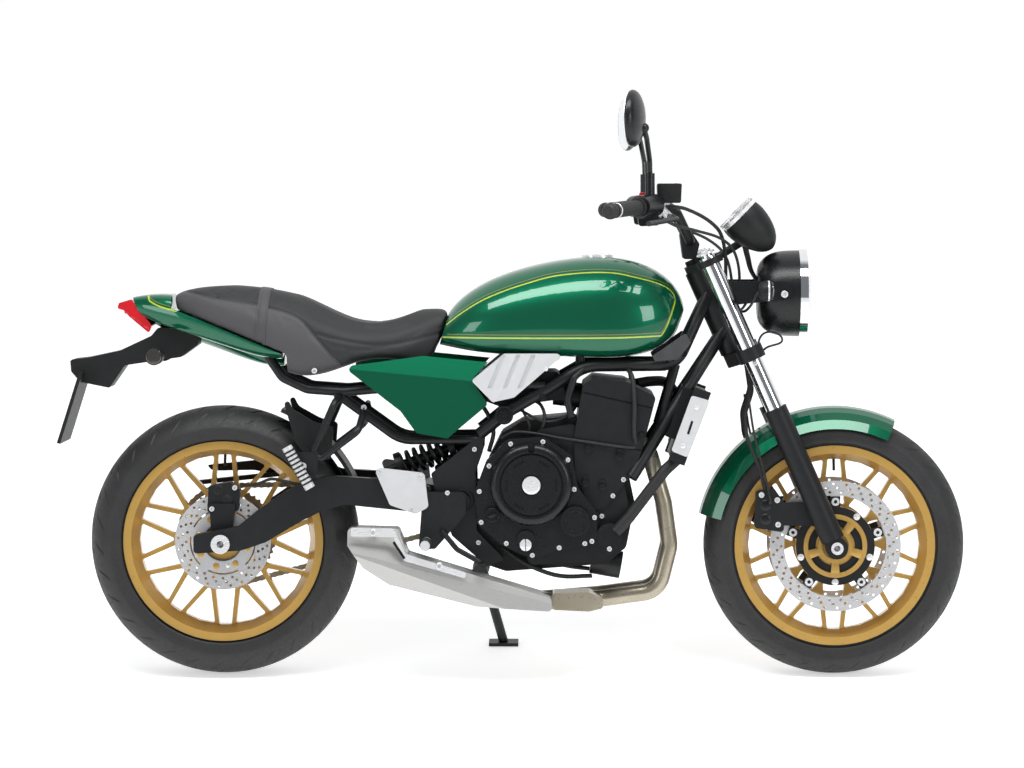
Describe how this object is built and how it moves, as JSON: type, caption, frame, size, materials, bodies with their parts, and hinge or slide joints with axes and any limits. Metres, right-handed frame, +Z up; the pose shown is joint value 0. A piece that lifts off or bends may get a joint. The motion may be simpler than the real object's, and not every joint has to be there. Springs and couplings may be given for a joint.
{
  "type": "standard motorcycle",
  "caption": "Standard motorcycle with an open twin-cylinder engine, cast wheels, telescopic fork and round headlamp, leaning on its side stand.",
  "frame": {"origin": "on the floor under the middle of the whole machine's box", "axes": "+X forward, +Y to the rider's left, +Z up; the machine leans towards +Y on its side stand"},
  "size_m": [2.0829, 0.826, 1.3726],
  "materials": {
    "green": "metallic gloss",
    "black_metal": "satin",
    "black_cast": "satin",
    "silver": "satin",
    "gold": "satin",
    "chrome": "polished",
    "steel": "brushed",
    "headers": "heat tinted",
    "tyre": "matte",
    "rubber": "matte",
    "black_plastic": "matte",
    "dark_plastic": "satin",
    "green_plastic": "metallic gloss",
    "silver_plastic": "satin",
    "seat_cover": "matte grained",
    "lens_clear": "clear",
    "lens_red": "gloss",
    "mirror_shell": "gloss"
  },
  "bodies": {
    "chassis": {"coolant_hoses": "rubber", "crankcase": "black_cast", "cylinder_head": "black_cast", "drive_chain": "steel", "engine_covers": "black_cast", "exhaust_pipes": "headers", "foot_controls": "black_metal", "footrest_hangers": "black_metal", "footrests": "silver", "fuel_cap": "steel", "fuel_tank": "green", "heat_guard": "steel", "heel_plates": "silver", "intake": "black_plastic", "main_frame": "black_metal", "muffler": "steel", "oil_filter": "black_metal", "plate_holder": "black_plastic", "radiator": "black_cast", "radiator_guards": "silver", "rear_axle": "steel", "rear_caliper": "black_cast", "rear_hugger": "black_plastic", "rear_indicators": "black_plastic", "rear_shock": "black_metal", "seat": "seat_cover", "side_covers": "green_plastic", "side_trims": "silver_plastic", "swingarm": "black_metal", "tail_cowl": "green_plastic", "tail_lamp": "lens_red", "tank_panels": "dark_plastic"},
    "front_end": {"fork_yokes": "black_cast", "fork_tubes": "chrome", "fork_sliders": "black_cast", "front_axle": "steel", "front_fender": "green_plastic", "handlebar": "black_metal", "bar_clamps": "black_cast", "hand_grips": "rubber", "hand_controls": "black_plastic", "hand_levers": "black_metal", "mirrors": "mirror_shell", "headlamp_bucket": "black_metal", "headlamp_lens": "lens_clear", "instrument_pods": "black_plastic", "front_indicators": "black_plastic", "front_calipers": "black_cast", "brake_hoses": "rubber", "headlamp_rim": "chrome", "lever_perches": "silver"},
    "front_wheel": {"front_tyre": "tyre", "front_rim": "gold", "front_brake_discs": "steel"},
    "rear_wheel": {"rear_tyre": "tyre", "rear_rim": "gold", "rear_brake_disc": "steel", "rear_sprocket": "steel"},
    "side_stand": {"side_stand_leg": "black_metal"}
  },
  "joints": [
    {"name": "steering", "type": "hinge", "parent": "chassis", "child": "front_end", "pos_m": [0.71345, -0.1245, 0.28496], "axis": [-0.4067, 0.1429, 0.9023], "range_deg": [-34, 34]},
    {"name": "front_wheel_spin", "type": "hinge", "parent": "front_end", "child": "front_wheel", "pos_m": [0.7415, -0.12255, 0.29729], "axis": [0, 0.9877, -0.1564], "continuous": true},
    {"name": "rear_wheel_spin", "type": "hinge", "parent": "chassis", "child": "rear_wheel", "pos_m": [-0.6635, -0.12098, 0.30717], "axis": [0, 0.9877, -0.1564], "continuous": true},
    {"name": "side_stand_fold", "type": "hinge", "parent": "chassis", "child": "side_stand", "pos_m": [-0.0735, -0.00432, 0.21275], "axis": [0.128, 0.9283, 0.3492], "range_deg": [0, 100]}
  ]
}
